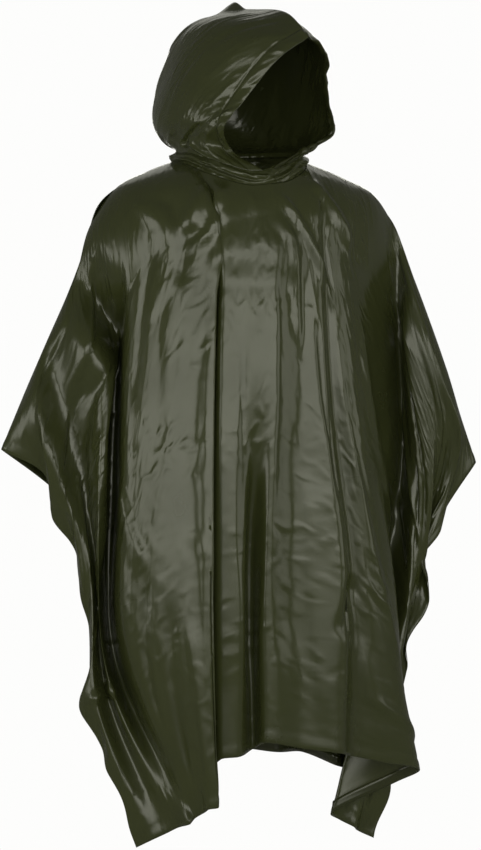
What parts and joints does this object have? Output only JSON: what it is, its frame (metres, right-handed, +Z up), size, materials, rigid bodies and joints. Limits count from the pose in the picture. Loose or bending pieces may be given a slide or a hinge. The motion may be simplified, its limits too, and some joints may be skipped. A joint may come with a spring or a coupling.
{
  "type": "hooded rain poncho",
  "caption": "Hooded rain poncho in thin glossy olive film, worn form: draped front and back, open sides, gathered neck, roomy hood.",
  "frame": {"origin": "middle of the neck on the line of the shoulders, where the wearer's shoulders hold the garment up", "axes": "+Z up, the garment faces -Y, the wearer's left hand is on +X"},
  "size_m": [0.8358, 0.3817, 1.4376],
  "materials": {
    "pvc_film": "thin calendered PVC film, olive green, soft satin gloss with crinkles",
    "gathered_film": "the same film gathered and crumpled at the neck",
    "welded_hem": "film turned once and welded, slightly darker and stiffer"
  },
  "bodies": {
    "root": {"body_front": "pvc_film", "body_back": "pvc_film", "hood_left": "pvc_film", "hood_right": "pvc_film", "neck_band": "gathered_film", "brim_casing_left": "welded_hem", "brim_casing_right": "welded_hem", "hem_front": "welded_hem", "hem_back": "welded_hem", "side_hem_front_right": "welded_hem", "side_hem_front_left": "welded_hem", "side_hem_back_right": "welded_hem", "side_hem_back_left": "welded_hem"}
  },
  "joints": []
}
